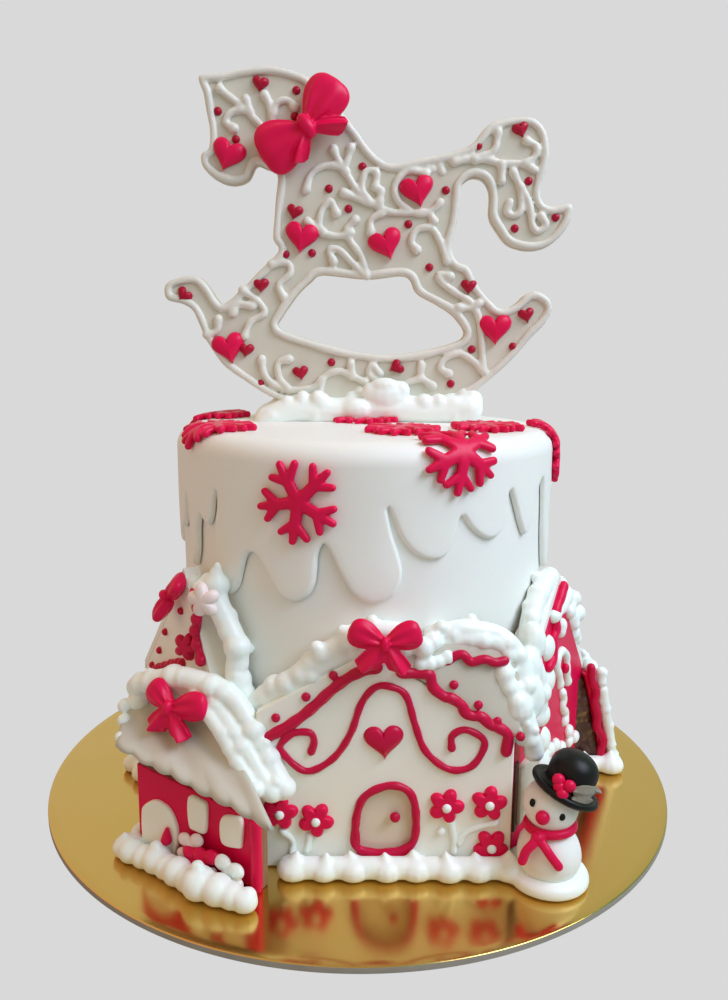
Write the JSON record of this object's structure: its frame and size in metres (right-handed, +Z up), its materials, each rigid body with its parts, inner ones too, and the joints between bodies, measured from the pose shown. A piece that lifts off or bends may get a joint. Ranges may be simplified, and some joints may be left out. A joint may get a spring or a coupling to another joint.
{
  "type": "rocking horse cake",
  "caption": "Tall white drip cake with a rocking horse biscuit on top, ringed by icing-trimmed gingerbread houses on a round gold board.",
  "frame": {"origin": "middle of the board's flat underside, on the surface that the cake stands on", "axes": "+Z up the cake; -Y towards the front, where the biscuit horse and the widest house face; +X to the right as seen from the front"},
  "size_m": [0.3, 0.3, 0.3363],
  "materials": {
    "white_fondant": "smooth white sugar icing with a soft sheen",
    "piped_icing": "piped white royal icing, softly lumpy",
    "cream_icing": "flooded pale icing on baked biscuit, satin",
    "red_icing": "deep raspberry red icing, satin",
    "gingerbread": "baked brown gingerbread, matt and finely pitted",
    "black_icing": "black sugar paste, satin",
    "gold_board": "mirror gold foil on card"
  },
  "bodies": {
    "root": {"board": "gold_board", "cake_body": "white_fondant", "drip_icing": "white_fondant", "snowflake_1": "red_icing", "snowflake_2": "red_icing", "snowflake_3": "red_icing", "snowflake_4": "red_icing", "snowflake_5": "red_icing", "snowflake_6": "red_icing", "snowflake_7": "red_icing", "snowflake_8": "red_icing", "snowflake_9": "red_icing", "horse_cookie": "cream_icing", "horse_heart_1": "red_icing", "horse_heart_2": "red_icing", "horse_heart_3": "red_icing", "horse_heart_4": "red_icing", "horse_heart_5": "red_icing", "horse_heart_6": "red_icing", "horse_bow": "red_icing", "top_snow": "piped_icing", "front_wall": "cream_icing", "front_roof": "white_fondant", "front_snow": "piped_icing", "front_heart": "red_icing", "front_flower_1": "red_icing", "front_flower_2": "red_icing", "front_flower_3": "red_icing", "front_flower_4": "red_icing", "front_flower_5": "red_icing", "front_bow": "red_icing", "left_wall": "cream_icing", "left_roof": "white_fondant", "left_snow": "piped_icing", "left_bow": "red_icing", "right_wall": "red_icing", "right_roof": "white_fondant", "right_snow": "piped_icing", "back_right_wall": "cream_icing", "back_right_roof": "white_fondant", "back_right_snow": "piped_icing", "back_wall": "red_icing", "back_roof": "white_fondant", "back_snow": "piped_icing", "back_left_wall": "cream_icing", "back_left_roof": "white_fondant", "back_left_snow": "piped_icing", "cottage_wall": "red_icing", "cottage_roof": "white_fondant", "cottage_snow": "piped_icing", "cottage_flower_1": "red_icing", "cottage_flower_2": "white_fondant", "cottage_bow": "red_icing", "shed_wall": "red_icing", "shed_body": "gingerbread", "shed_snow": "piped_icing", "snowman": "white_fondant", "snowman_hat": "black_icing", "snowman_scarf": "red_icing", "foot_snow": "piped_icing"}
  },
  "joints": []
}
